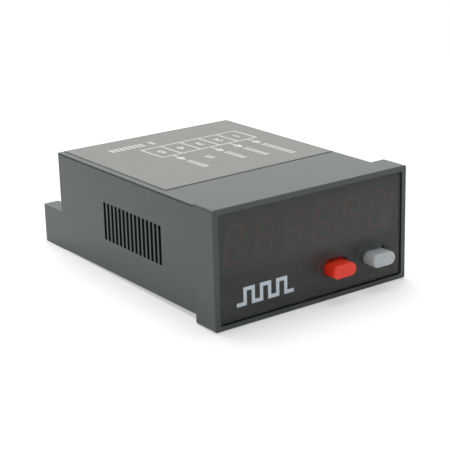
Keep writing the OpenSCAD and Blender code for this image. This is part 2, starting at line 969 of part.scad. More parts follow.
housing();
display_window();
type_label();
button_guide();
display_board();
digit(1);  // digit_1
digit(2);  // digit_2
digit(3);  // digit_3
digit(4);  // digit_4
digit(5);  // digit_5
digit(6);  // digit_6
segments(1);  // segments_1
segments(2);  // segments_2
segments(3);  // segments_3
segments(4);  // segments_4
segments(5);  // segments_5
segments(6);  // segments_6
reset_button();
reset_plunger();
reset_switch_cover();
reset_switch_base();
reset_dome();
set_button();
set_plunger();
set_switch_cover();
set_switch_base();
set_dome();
main_board();
board_header();
header_pins();
microcontroller();
crystal();
capacitor_large();
capacitor_small();
choke();
regulator();
optocoupler(isolator_1_at);  // optocoupler_1
optocoupler(isolator_2_at);  // optocoupler_2
terminal_block();
terminal_screw(1);  // terminal_screw_1
terminal_screw(2);  // terminal_screw_2
terminal_screw(3);  // terminal_screw_3
terminal_screw(4);  // terminal_screw_4
terminal_screw(5);  // terminal_screw_5
wire_clamp(1);  // wire_clamp_1
wire_clamp(2);  // wire_clamp_2
wire_clamp(3);  // wire_clamp_3
wire_clamp(4);  // wire_clamp_4
wire_clamp(5);  // wire_clamp_5
contact(1);  // contact_1
contact(2);  // contact_2
contact(3);  // contact_3
contact(4);  // contact_4
contact(5);  // contact_5
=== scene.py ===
"""Looks for a digital panel meter: dark housing, smoke-tinted window, two keys, rear terminals.

Everything is in metres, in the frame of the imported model: the origin is the
middle of the panel cut-out in the plane of the bezel's back face, +Y runs back
through the panel and +Z is up.
"""

import logging
import math
from dataclasses import dataclass, field
from enum import Enum

import bpy
from mathutils import Euler, Matrix, Vector


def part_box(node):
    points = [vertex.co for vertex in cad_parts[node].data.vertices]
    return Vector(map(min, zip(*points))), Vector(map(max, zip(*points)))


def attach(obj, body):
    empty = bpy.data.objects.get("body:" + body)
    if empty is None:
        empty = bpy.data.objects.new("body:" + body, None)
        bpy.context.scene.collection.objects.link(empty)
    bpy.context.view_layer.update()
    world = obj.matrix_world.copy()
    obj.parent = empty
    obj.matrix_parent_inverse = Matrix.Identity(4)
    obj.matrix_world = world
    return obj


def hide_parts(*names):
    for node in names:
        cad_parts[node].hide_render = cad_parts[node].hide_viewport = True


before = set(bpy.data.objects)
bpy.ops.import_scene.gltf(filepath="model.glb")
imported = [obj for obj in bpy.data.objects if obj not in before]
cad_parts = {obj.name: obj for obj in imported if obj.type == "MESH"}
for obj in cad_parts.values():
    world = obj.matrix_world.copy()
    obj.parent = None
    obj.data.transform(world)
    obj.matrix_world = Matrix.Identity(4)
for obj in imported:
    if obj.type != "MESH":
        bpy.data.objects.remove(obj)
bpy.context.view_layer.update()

log = logging.getLogger("panel_meter")

Rgb = tuple[float, float, float]
Span = tuple[float, float]
Triple = tuple[float, float, float]
Piece = bpy.types.Object
Socket = bpy.types.NodeSocket

MM = 0.001
TERMINALS = 5
DIGITS = 6
WELD = 1e-6  # Points of a CAD mesh that are closer than this are one.
FLAT_ANGLE = 0.3  # Neighbouring CAD faces within this many degrees are one flat face.
BODY_START = 2 * MM  # Points of the housing further back than this belong to its body.


# ---------------------------------------------------------------------------
# Modelling helpers
# ---------------------------------------------------------------------------


def deselect() -> None:
    """Leaves nothing selected, in object mode."""
    if bpy.context.object and bpy.context.object.mode != "OBJECT":
        bpy.ops.object.mode_set(mode="OBJECT")
    bpy.ops.object.select_all(action="DESELECT")


def pick(*pieces: Piece) -> None:
    """Selects these pieces alone and makes the first one active.

    Args:
        pieces: What to select.
    """
    deselect()
    for piece in pieces:
        piece.select_set(True)
    bpy.context.view_layer.objects.active = pieces[0]


def named(name: str) -> Piece:
    """Names the object that an operator has just made active.

    Args:
        name: Its new name, which its mesh gets too.

    Returns:
        The object.
    """
    piece = bpy.context.object
    piece.name = name
    piece.data.name = name
    return piece


def settle(piece: Piece) -> None:
    """Puts a piece's place, turn and scale into its mesh."""
    pick(piece)
    bpy.ops.object.transform_apply(location=True, rotation=True, scale=True)


def posed(origin: Vector, x: Vector, y: Vector, z: Vector) -> Matrix:
    """Returns the matrix that puts a frame of its own at this origin, along these axes."""
    return Matrix.Translation(origin) @ Matrix((x, y, z)).transposed().to_4x4()


def join(name: str, pieces: list[Piece]) -> Piece:
    """Joins pieces into one.

    Args:
        name: Name of the joined piece.
        pieces: What to join.

    Returns:
        The joined piece, at the origin.
    """
    for piece in pieces:
        settle(piece)
    pick(*pieces)
    if len(pieces) > 1:
        bpy.ops.object.join()
    return named(name)


def bevel(piece: Piece, width: float, segments: int = 2, angle: float = 40.0) -> None:
    """Rounds a piece's sharp edges.

    Args:
        piece: Piece to work on.
        width: Width of the rounding.
        segments: Faces across it.
        angle: Least angle in degrees at which an edge counts as sharp.
    """
    pick(piece)
    rounding = piece.modifiers.new("rounding", "BEVEL")
    rounding.width = width
    rounding.segments = segments
    rounding.limit_method = "ANGLE"
    rounding.angle_limit = math.radians(angle)
    rounding.use_clamp_overlap = False
    rounding.miter_outer = "MITER_ARC"
    bpy.ops.object.modifier_apply(modifier=rounding.name)


def smooth(piece: Piece, angle: float = 35.0) -> None:
    """Shades a piece smooth, apart from edges sharper than an angle in degrees."""
    pick(piece)
    bpy.ops.object.shade_smooth_by_angle(angle=math.radians(angle))


def merged_copy(name: str, node: str) -> Piece:
    """Makes a welded piece from a copy of a CAD node.

    Args:
        name: Name of the new piece.
        node: CAD node to copy.

    Returns:
        The new piece, with flat faces made whole.
    """
    copy = bpy.data.objects.new(name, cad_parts[node].data.copy())
    copy.data.materials.clear()
    bpy.context.scene.collection.objects.link(copy)
    pick(copy)
    piece = named(name)
    bpy.ops.object.mode_set(mode="EDIT")
    bpy.ops.mesh.customdata_custom_splitnormals_clear()
    bpy.ops.mesh.select_all(action="SELECT")
    bpy.ops.mesh.remove_doubles(threshold=WELD)
    bpy.ops.mesh.dissolve_limited(angle_limit=math.radians(FLAT_ANGLE))
    bpy.ops.object.mode_set(mode="OBJECT")
    return piece


def place(piece: Piece, body: str, stuff: "Stuff", replaced: tuple[str, ...] = ()) -> None:
    """Dresses a piece, fixes it to its body and reports it.

    Args:
        piece: Piece to place.
        body: CAD body that it rides on.
        stuff: What it is made of.
        replaced: CAD nodes that it stands for.
    """
    finish = stuff.value
    piece.data.materials.clear()
    piece.data.materials.append(finish.material())
    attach(piece, body)
    if replaced:
        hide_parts(*replaced)
    log.info("%s: %d faces, rides on %s", piece.name, len(piece.data.polygons), body)


def dress(stuff: "Stuff", *nodes: str) -> None:
    """Gives CAD nodes a finish.

    Args:
        stuff: What they are made of.
        nodes: Names of the nodes.
    """
    for node in nodes:
        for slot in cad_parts[node].material_slots:
            slot.material = stuff.value.material()
        log.info("%s: dressed in %s", node, stuff.value.name)


def body_box() -> tuple[Vector, Vector]:
    """Measures the housing's body between the bezel and the rear wall.

    Returns:
        Its lowest and highest corners.
    """
    body = [v.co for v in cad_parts["housing"].data.vertices if v.co.y > BODY_START]
    low = Vector((min(p.x for p in body), 0, min(p.z for p in body)))
    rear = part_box("type_label")[1].y
    return low, Vector((max(p.x for p in body), rear, max(p.z for p in body)))


# ---------------------------------------------------------------------------
# Finishes
# ---------------------------------------------------------------------------


MIX_LOW, MIX_HIGH, MIX_RESULT = 6, 7, 2  # Places of a Mix node's colour sockets.
EDGE_SAMPLES = 4  # How many ways a point looks for an edge.
EDGE_BEND: Span = (0.8, 0.99)  # Cosines of the rounded normal's turn, on an edge and off it.
FINE_DETAIL = 2.0  # Finer structure within a grain.


class Graph:
    """A material's nodes, with short ways to add the ones used here."""

    def __init__(self, name: str) -> None:
        """Starts a material with one principled shader.

        Args:
            name: Name of the material.
        """
        self.material = bpy.data.materials.new(name)
        self.material.use_nodes = True
        self.tree = self.material.node_tree
        self.shader = self.tree.nodes["Principled BSDF"]
        self.place = self.tree.nodes.new("ShaderNodeTexCoord").outputs["Object"]

    def link(self, source: Socket, target: Socket) -> None:
        """Links two sockets."""
        self.tree.links.new(source, target)

    def set(self, socket: str, value: float | Rgb) -> None:
        """Sets a socket of the shader to a number or a colour."""
        filled = (*value, 1.0) if isinstance(value, tuple) else value
        self.shader.inputs[socket].default_value = filled

    def glow(self, share: float, depth: float) -> None:
        """Lets a share of the light spread under the surface, as far as a depth."""
        self.set("Subsurface Weight", share)
        self.set("Subsurface Scale", depth)

    def noise(self, size: float, detail: float = 3.0, stretch: Triple = (1.0, 1.0, 1.0)) -> Socket:
        """Adds a cloudy pattern.

        Args:
            size: Size of its patches.
            detail: How much finer structure it has.
            stretch: Factors on the coordinates.

        Returns:
            Its value, from 0 to 1.
        """
        mapping = self.tree.nodes.new("ShaderNodeMapping")
        mapping.inputs["Scale"].default_value = stretch
        self.link(self.place, mapping.inputs["Vector"])
        node = self.tree.nodes.new("ShaderNodeTexNoise")
        node.inputs["Scale"].default_value = 1.0 / size
        node.inputs["Detail"].default_value = detail
        self.link(mapping.outputs["Vector"], node.inputs["Vector"])
        return node.outputs["Fac"]

    def spread(self, value: Socket, low: float, high: float, source: Span = (0.3, 0.7)) -> Socket:
        """Maps a pattern onto a range.

        Args:
            value: Pattern.
            low: Result at the low end.
            high: Result at the high end.
            source: Ends of the pattern that count.

        Returns:
            The mapped value.
        """
        node = self.tree.nodes.new("ShaderNodeMapRange")
        node.inputs["From Min"].default_value = source[0]
        node.inputs["From Max"].default_value = source[1]
        node.inputs["To Min"].default_value = low
        node.inputs["To Max"].default_value = high
        self.link(value, node.inputs["Value"])
        return node.outputs["Result"]

    def blend(self, factor: Socket, low: Rgb | Socket, high: Rgb | Socket) -> Socket:
        """Mixes two colours.

        Args:
            factor: 0 gives low and 1 gives high.
            low: Colour or socket.
            high: Colour or socket.

        Returns:
            The mixed colour.
        """
        node = self.tree.nodes.new("ShaderNodeMix")
        node.data_type = "RGBA"
        self.link(factor, node.inputs[0])
        for value, socket in ((low, node.inputs[MIX_LOW]), (high, node.inputs[MIX_HIGH])):
            if isinstance(value, tuple):
                socket.default_value = (*value, 1.0)
            else:
                self.link(value, socket)
        return node.outputs[MIX_RESULT]

    def arithmetic(self, operation: str, first: Socket, second: float | Socket) -> Socket:
        """Combines two values.

        Args:
            operation: Name of the operation, as the Math node has it.
            first: Left value.
            second: Right value.

        Returns:
            The result.
        """
        node = self.tree.nodes.new("ShaderNodeMath")
        node.operation = operation
        self.link(first, node.inputs[0])
        if isinstance(second, (int, float)):
            node.inputs[1].default_value = second
        else:
            self.link(second, node.inputs[1])
        return node.outputs[0]

    def within(self, low: Vector, high: Vector) -> Socket:
        """Tells the inside of a box from the rest.

        Args:
            low: Lowest corner.
            high: Highest corner.

        Returns:
            1 inside the box and 0 outside.
        """
        split = self.tree.nodes.new("ShaderNodeSeparateXYZ")
        self.link(self.place, split.inputs[0])
        sides = []
        for i in range(3):
            off = self.arithmetic("SUBTRACT", split.outputs[i], (low[i] + high[i]) / 2)
            far = self.arithmetic("ABSOLUTE", off, 0.0)
            sides.append(self.arithmetic("LESS_THAN", far, (high[i] - low[i]) / 2))
        flat = self.arithmetic("MULTIPLY", sides[0], sides[1])
        return self.arithmetic("MULTIPLY", flat, sides[2])

    def edges(self, radius: float) -> Socket:
        """Finds edges.

        Args:
            radius: Width of the strip that counts as an edge.

        Returns:
            1 on an edge and 0 away from all of them.
        """
        rounded = self.tree.nodes.new("ShaderNodeBevel")
        rounded.samples = EDGE_SAMPLES
        rounded.inputs["Radius"].default_value = radius
        real = self.tree.nodes.new("ShaderNodeNewGeometry")
        dot = self.tree.nodes.new("ShaderNodeVectorMath")
        dot.operation = "DOT_PRODUCT"
        self.link(rounded.outputs["Normal"], dot.inputs[0])
        self.link(real.outputs["Normal"], dot.inputs[1])
        return self.spread(dot.outputs["Value"], 1.0, 0.0, EDGE_BEND)

    def bump(self, height: Socket, depth: float) -> None:
        """Roughens the surface.

        Args:
            height: Pattern of heights, from 0 to 1.
            depth: Real height of the pattern.
        """
        node = self.tree.nodes.new("ShaderNodeBump")
        node.inputs["Distance"].default_value = depth
        self.link(height, node.inputs["Height"])
        self.link(node.outputs["Normal"], self.shader.inputs["Normal"])


def scaled(color: Rgb, factor: float) -> Rgb:
    """Makes a colour lighter or darker by a factor, with no part above 1."""
    return tuple(min(1.0, part * factor) for part in color)


@dataclass(frozen=True)
class Finish:
    """A surface: its colour, its gloss and the patterns that break them up.

    Attributes:
        name: Name of the material.
        slot: Material slot of the record; not used.
        color: Colour, linear.
        roughness: Middle of the roughness.
        tone: How far the colour strays to each side, as a share.
        tone_size: Size of the patches of colour.
        grain: Height of the fine texture.
        grain_size: Size of the fine texture.
        uneven: How far the roughness strays to each side.
    """

    name: str
    slot: str
    color: Rgb
    roughness: float = 0.5
    tone: float = 0.06
    tone_size: float = 4 * MM
    grain: float = 0.01 * MM
    grain_size: float = 0.3 * MM
    uneven: float = 0.06

    def material(self) -> bpy.types.Material:
        """Makes the material the first time it is asked for.

        Returns:
            The material.
        """
        known = bpy.data.materials.get(self.name)
        if known:
            return known
        graph = Graph(self.name)
        self.lay(graph)
        return graph.material

    def lay(self, graph: Graph) -> None:
        """Lays colour, gloss and grain into the material.

        Args:
            graph: The material's nodes.
        """
        patches = graph.spread(graph.noise(self.tone_size), 0.0, 1.0)
        color = graph.blend(patches, scaled(self.color, 1 - self.tone),
                            scaled(self.color, 1 + self.tone))
        graph.link(self.tint(graph, color), graph.shader.inputs["Base Color"])
        fine = graph.noise(self.grain_size, FINE_DETAIL)
        self.gloss(graph, fine)
        graph.bump(fine, self.grain)

    def gloss(self, graph: Graph, pattern: Socket) -> None:
        """Lets the roughness stray with a pattern."""
        rough = graph.spread(pattern, self.roughness - self.uneven, self.roughness + self.uneven)
        graph.link(rough, graph.shader.inputs["Roughness"])

    def tint(self, graph: Graph, color: Socket) -> Socket:
        """Returns the base colour, which a finish with a pattern of its own changes."""
        return color


@dataclass(frozen=True)
class Moulding(Finish):
    """Moulded plastic, with a painted highlight on its edges, in patches.

    Attributes:
        edge_highlight: How much lighter an edge is, as a factor.
        highlight_width: Reach of the painted highlight strip.
        highlight_patch_size: Size of the patches in which the painted highlight is stronger and
            weaker.
        highlight_least: Least share of the painted highlight.
    """

    edge_highlight: float = 1.25
    highlight_width: float = 0.25 * MM
    highlight_patch_size: float = 2 * MM
    highlight_least: float = 0.4

    def tint(self, graph: Graph, color: Socket) -> Socket:
        """Paints highlights on the edges, in patches.

        Args:
            graph: The material's nodes.
            color: Base colour.

        Returns:
            The base colour with its painted edge highlights.
        """
        # painted highlight: edges made lighter, as where a rounded edge catches the light
        share = graph.spread(graph.noise(self.highlight_patch_size), self.highlight_least, 1.0)
        highlighted_edges = graph.arithmetic("MULTIPLY", graph.edges(self.highlight_width), share)
        return graph.blend(highlighted_edges, color, scaled(self.color, self.edge_highlight))


@dataclass(frozen=True)
class Shell(Moulding):
    """The housing's plastic, with painted shade that darkens its slots and inside.

    Attributes:
        inside: How dark the painted shade inside is, as a factor.
        skin: Depth below the outer faces at which the inside starts.
    """

    inside: float = 0.5
    skin: float = 0.15 * MM

    def tint(self, graph: Graph, color: Socket) -> Socket:
        """Darkens all that lies below the body's outer skin, as painted shade.

        Args:
            graph: The material's nodes.
            color: Base colour.

        Returns:
            The base colour with painted edge highlights and painted shade inside.
        """
        outer = Moulding.tint(self, graph, color)
        low, high = body_box()
        skin = Vector.Fill(3, self.skin)
        # painted shade: slot walls and all inside the body are darkened where light hardly reaches
        painted_shade_mask = graph.within(low + skin, high - skin)
        return graph.blend(painted_shade_mask, outer, scaled(self.color, self.inside))


@dataclass(frozen=True)
class Rubber(Moulding):
    """Soft key material, through which a little light passes.

    Attributes:
        share: Share of the light that spreads inside.
        depth: How far it spreads.
    """

    share: float = 0.85
    depth: float = 2.5 * MM

    def lay(self, graph: Graph) -> None:
        """Adds the light inside to the finish."""
        Moulding.lay(self, graph)
        graph.glow(self.share, self.depth)


@dataclass(frozen=True)
class Resin(Finish):
    """Milky casting resin that lets a little light in.

    Attributes:
        share: Share of the light that spreads inside.
        depth: How far it spreads.
    """

    share: float = 0.3
    depth: float = 0.4 * MM

    def lay(self, graph: Graph) -> None:
        """Adds the light inside to the finish."""
        Finish.lay(self, graph)
        graph.glow(self.share, self.depth)


@dataclass(frozen=True)
class Acrylic(Finish):
    """Clear sheet, tinted in the mass.

    Attributes:
        cover: Share of what lies behind that the tint hides.
        index: Index of refraction.
    """

    cover: float = 0.6
    index: float = 1.49

    def lay(self, graph: Graph) -> None:
        """Adds the see-through share to the finish.

        Args:
            graph: The material's nodes.
        """
        Finish.lay(self, graph)
        graph.set("Alpha", self.cover)
        graph.set("IOR", self.index)


@dataclass(frozen=True)
class Plate(Finish):
    """Plated metal with fine drawn lines.

    Attributes:
        along: Factors that draw the lines out.
    """

    along: Triple = (1.0, 0.1, 1.0)

    def lay(self, graph: Graph) -> None:
        """Makes the finish a metal, with drawn lines in its gloss.

        Args:
            graph: The material's nodes.
        """
        Finish.lay(self, graph)
        graph.set("Metallic", 1.0)
        self.gloss(graph, graph.noise(self.grain_size, FINE_DETAIL, self.along))


@dataclass(frozen=True)
class Laminate(Finish):
    """Circuit board: solder resist over copper tracks.

    Attributes:
        track: Colour of the resist where copper lies under it.
        track_size: Spacing of the tracks.
        track_width: Width of a track, as a share of the spacing.
    """

    track: Rgb = (0.03, 0.13, 0.06)
    track_size: float = 2.54 * MM
    track_width: float = 0.14

    def tint(self, graph: Graph, color: Socket) -> Socket:
        """Draws the tracks as a grid of short runs.

        Args:
            graph: The material's nodes.
            color: Base colour.

        Returns:
            The base colour with the tracks.
        """
        node = graph.tree.nodes.new("ShaderNodeTexBrick")
        node.inputs["Scale"].default_value = 1.0 / self.track_size
        node.inputs["Mortar Size"].default_value = self.track_width
        for socket, grey in (("Color1", 0), ("Color2", 0), ("Mortar", 1)):
            node.inputs[socket].default_value = (grey, grey, grey, 1)
        graph.link(graph.place, node.inputs["Vector"])
        return graph.blend(node.outputs["Color"], color, self.track)


@dataclass(frozen=True)
class Sleeve(Finish):
    """Shrink sleeve of a capacitor, with a pale stripe down one side.

    Attributes:
        stripe: Colour of the stripe.
        stripe_edge: Parts along +X of a normal at which the stripe starts and is full.
    """

    stripe: Rgb = (0.55, 0.57, 0.6)
    stripe_edge: Span = (-0.88, -0.92)

    def tint(self, graph: Graph, color: Socket) -> Socket:
        """Paints the side that faces -X.

        Args:
            graph: The material's nodes.
            color: Base colour.

        Returns:
            The base colour with the stripe.
        """
        facing = graph.tree.nodes.new("ShaderNodeSeparateXYZ")
        real = graph.tree.nodes.new("ShaderNodeNewGeometry")
        graph.link(real.outputs["Normal"], facing.inputs[0])
        side = graph.spread(facing.outputs["X"], 0.0, 1.0, self.stripe_edge)
        return graph.blend(side, color, self.stripe)


class Stuff(Enum):
    """What the pieces are made of."""

    # housing: painted edge highlights, and painted shade in its slots and inside
    HOUSING = Shell("housing_texture", "housing_plastic", (0.034, 0.047, 0.046), roughness=0.26,
                    tone=0.05, tone_size=5 * MM, grain=0.0005 * MM, grain_size=0.45 * MM,
                    uneven=0.01)
    # painted shade: the dark line under the top's edge along each side
    SEAM = Finish("seam_shadow", "housing_plastic", (0.01, 0.014, 0.014), roughness=0.9)
    WINDOW = Acrylic("window_smoke", "tinted_acrylic", (0.064, 0.067, 0.064), roughness=0.42,
                     tone_size=20 * MM, grain=0.0001 * MM, grain_size=1.5 * MM, uneven=0.005)
    PICTOGRAM = Finish("pictogram_ink", "tinted_acrylic", (0.55, 0.62, 0.68), roughness=0.4,
                       tone=0.04, tone_size=2 * MM, grain=0.002 * MM)
    LABEL = Finish("label_satin", "label_film", (0.126, 0.126, 0.113), roughness=0.42,
                   tone=0.035, tone_size=6 * MM, grain=0.004 * MM, grain_size=0.35 * MM)
    LABEL_LINE = Finish("label_line", "label_film", (0.07, 0.078, 0.074), tone=0.1)
    INK = Finish("label_ink", "label_film", (0.42, 0.42, 0.41), tone=0.1, tone_size=1 * MM,
                 grain=0.003 * MM)
    PALE_INK = Finish("label_pale_ink", "label_film", (0.37, 0.37, 0.36), tone=0.12,
                      tone_size=1 * MM, grain=0.003 * MM)
    # keys: a stronger, wider painted highlight on their edges
    RED_KEY = Rubber("red_key", "red_plastic", (0.8, 0.034, 0.008), roughness=0.42, tone=0.05,
                     tone_size=3 * MM, grain=0.004 * MM, edge_highlight=1.3, highlight_width=0.5 * MM)
    GREY_KEY = Rubber("grey_key", "grey_plastic", (0.45, 0.495, 0.52), roughness=0.42, tone=0.04,
                      tone_size=3 * MM, grain=0.004 * MM, edge_highlight=1.35, highlight_width=0.5 * MM)
    # these mouldings carry the default painted edge highlight
    GUIDE = Moulding("guide_moulding", "black_plastic", (0.036, 0.036, 0.036), roughness=0.6)
    BLACK = Moulding("black_moulding", "black_plastic", (0.015, 0.015, 0.016))
    BOARD = Laminate("board_resist", "circuit_board", (0.015, 0.075, 0.035), roughness=0.3,
                     tone=0.08, tone_size=8 * MM, grain=0.006 * MM, grain_size=0.5 * MM)
    DIGIT = Finish("digit_face", "digit_plastic", (0.03, 0.03, 0.03), roughness=0.6, tone=0.05,
                   grain=0.001 * MM, uneven=0.02)
    SEGMENT = Resin("segment_resin_red", "segment_resin", (0.52, 0.065, 0.075),
                    tone_size=2 * MM, grain=0.001 * MM)
    CHIP = Finish("chip_compound", "chip_plastic", (0.012, 0.012, 0.013), roughness=0.6, tone=0.1,
                  tone_size=2 * MM, grain_size=0.2 * MM)
    SLEEVE = Sleeve("sleeve_blue", "sleeve_film", (0.02, 0.03, 0.09), roughness=0.25, tone=0.05,
                    grain=0.003 * MM)
    FERRITE = Finish("ferrite_sinter", "ferrite", (0.035, 0.035, 0.037), roughness=0.55,
                     tone=0.15, tone_size=1 * MM, grain=0.03 * MM, grain_size=0.4 * MM)
    WHITE = Finish("white_compound", "white_plastic", (0.7, 0.7, 0.65), tone=0.04,
                   tone_size=3 * MM, grain=0.008 * MM)
    # the terminal block carries the default painted edge highlight
    TERMINAL = Moulding("terminal_moulding", "terminal_plastic", (0.03, 0.033, 0.033), tone=0.08,
                        tone_size=3 * MM, grain=0.012 * MM, grain_size=0.25 * MM)
    TIN = Plate("tin_satin", "tin_plate", (0.5, 0.5, 0.48), roughness=0.42, tone_size=2 * MM,
                grain=0.003 * MM)
    ZINC = Plate("zinc_bright", "zinc_plate", (0.5, 0.52, 0.54), roughness=0.42,
                 tone_size=1 * MM, grain=0.004 * MM, grain_size=0.15 * MM)
    PASSIVATE = Plate("clamp_passivate", "clamp_steel", (0.5, 0.46, 0.36), roughness=0.35,
                      tone=0.12, tone_size=1.5 * MM, grain=0.004 * MM, grain_size=0.2 * MM)
    BRASS = Plate("brass_tinned", "tinned_brass", (0.7, 0.55, 0.28), roughness=0.35, tone=0.08,
                  tone_size=2 * MM, grain=0.003 * MM, grain_size=0.2 * MM)


# ---------------------------------------------------------------------------
# Studio
# ---------------------------------------------------------------------------


@dataclass(frozen=True)
class Lamp:
    """A soft square lamp.

    Attributes:
        name: Its name.
        at: Its middle.
        size: Length of its sides.
        power: Its power in watts.
    """

    name: str
    at: Triple
    size: float
    power: float

    def hang(self, aim: Vector) -> None:
        """Hangs the lamp and turns it to a point.

        Args:
            aim: The point.
        """
        deselect()
        bpy.ops.object.light_add(type="AREA", location=self.at)
        lamp = bpy.context.object
        lamp.name = self.name
        lamp.data.size = self.size
        lamp.data.energy = self.power
        lamp.rotation_euler = (Vector(self.at) - aim).to_track_quat("Z", "Y").to_euler()


@dataclass
class Studio:
    """Camera, floor and light.

    Attributes:
        eye: Place of the camera.
        azimuth: Direction of the view about Z, in degrees.
        elevation: Height of the camera above the horizon, in degrees.
        roll: Turn of the camera about its axis, in degrees.
        lens: Focal length, in millimetres.
        sensor: Width of the sensor, in millimetres.
        clip: Nearest distance that the camera shows.
        floor_size: Length of the floor's sides.
        floor_color: Colour of the floor, linear.
        floor_lift: How far the floor is lifted to white near the object.
        fade: Distances from the object at which the floor starts to be lifted and is white.
        ambient: Strength of the even light on the object.
        lamp: The lamp above and behind the object.
        aim: Point that the lamp is turned to.
    """

    eye: Triple = (-0.23480, -0.29420, 0.12531)
    azimuth: float = -35.485
    elevation: float = 17.779
    roll: float = -1.571
    lens: float = 107.03
    sensor: float = 36.0
    clip: float = 0.01
    floor_size: float = 3.0
    floor_color: Rgb = (0.9, 0.9, 0.9)
    floor_lift: float = 0.45
    fade: Span = (0.16, 0.4)
    ambient: float = 0.44
    lamp: Lamp = Lamp("top_lamp", at=(0.10, 0.32, 0.85), size=0.9, power=13.0)
    aim: Triple = (0.0, 0.04, 0.0)

    def camera(self) -> None:
        """Sets up the camera."""
        turn, tilt, roll = (math.radians(a) for a in (self.azimuth, self.elevation, self.roll))
        right = Vector((math.cos(turn), math.sin(turn), 0))
        back = Vector((math.sin(turn) * math.cos(tilt), -math.cos(turn) * math.cos(tilt),
                       math.sin(tilt)))
        up = back.cross(right)
        across = math.cos(roll) * right + math.sin(roll) * up
        above = -math.sin(roll) * right + math.cos(roll) * up
        deselect()
        bpy.ops.object.camera_add()
        camera = bpy.context.object
        camera.matrix_world = posed(self.eye, across, above, back)
        camera.data.lens = self.lens
        camera.data.sensor_width = self.sensor
        camera.data.clip_start = self.clip
        bpy.context.scene.camera = camera

    def seen_rays(self, tree: bpy.types.NodeTree) -> Socket:
        """Adds the test for rays that see the background as it is.

        Args:
            tree: Nodes to add it to.

        Returns:
            1 for camera, glossy and transmitted rays, and 0 for others.
        """
        path = tree.nodes.new("ShaderNodeLightPath")
        total = path.outputs["Is Camera Ray"]
        for kind in ("Is Glossy Ray", "Is Transmission Ray"):
            either = tree.nodes.new("ShaderNodeMath")
            either.operation = "MAXIMUM"
            tree.links.new(total, either.inputs[0])
            tree.links.new(path.outputs[kind], either.inputs[1])
            total = either.outputs[0]
        return total

    def world(self) -> None:
        """Lights the object evenly, and shows white to the camera."""
        world = bpy.data.worlds.new("studio")
        world.use_nodes = True
        bpy.context.scene.world = world
        tree = world.node_tree
        level = tree.nodes.new("ShaderNodeMapRange")
        level.inputs["To Min"].default_value = self.ambient
        level.inputs["To Max"].default_value = 1.0
        tree.links.new(self.seen_rays(tree), level.inputs["Value"])
        sky = tree.nodes["Background"]
        sky.inputs["Color"].default_value = (1, 1, 1, 1)
        tree.links.new(level.outputs["Result"], sky.inputs["Strength"])

    def floor(self) -> None:
        """Lays the floor under the bezel's edge and the cheeks' underside."""
        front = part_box("housing")[0]
        underside = -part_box("type_label")[0].z  # The label lies on the body's top.
        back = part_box("housing")[1].y
        slope = math.atan2(underside - front.z, back)
        deselect()
        bpy.ops.mesh.primitive_plane_add(size=self.floor_size, location=(0, 0, front.z))
        floor = named("studio_floor")
        floor.rotation_euler = Euler((slope, 0, 0))
        settle(floor)
        floor.data.materials.append(self.paper())

    def paper(self) -> bpy.types.Material:
        """Makes the floor's material, which keeps the object's shadow and fades to white.

        Returns:
            The material.
        """
        graph = Graph("studio_floor")
        graph.set("Base Color", self.floor_color)
        graph.set("Roughness", 1.0)
        graph.set("Specular IOR Level", 0.0)
        length = graph.tree.nodes.new("ShaderNodeVectorMath")
        length.operation = "LENGTH"
        graph.link(graph.place, length.inputs[0])
        lift = graph.spread(length.outputs["Value"], self.floor_lift, 1.0, self.fade)
        white = graph.tree.nodes.new("ShaderNodeEmission")
        ends = graph.tree.nodes.new("ShaderNodeMixShader")
        graph.link(graph.arithmetic("MULTIPLY", lift, self.seen_rays(graph.tree)), ends.inputs[0])
        graph.link(graph.shader.outputs[0], ends.inputs[1])
        graph.link(white.outputs[0], ends.inputs[2])
        graph.link(ends.outputs[0], graph.tree.nodes["Material Output"].inputs["Surface"])
        return graph.material

    def build(self) -> None:
        """Builds the whole studio."""
        self.camera()
        self.world()
        self.floor()
        self.lamp.hang(Vector(self.aim))
        bpy.context.scene.view_settings.view_transform = "Standard"


# ---------------------------------------------------------------------------
# Print
# ---------------------------------------------------------------------------


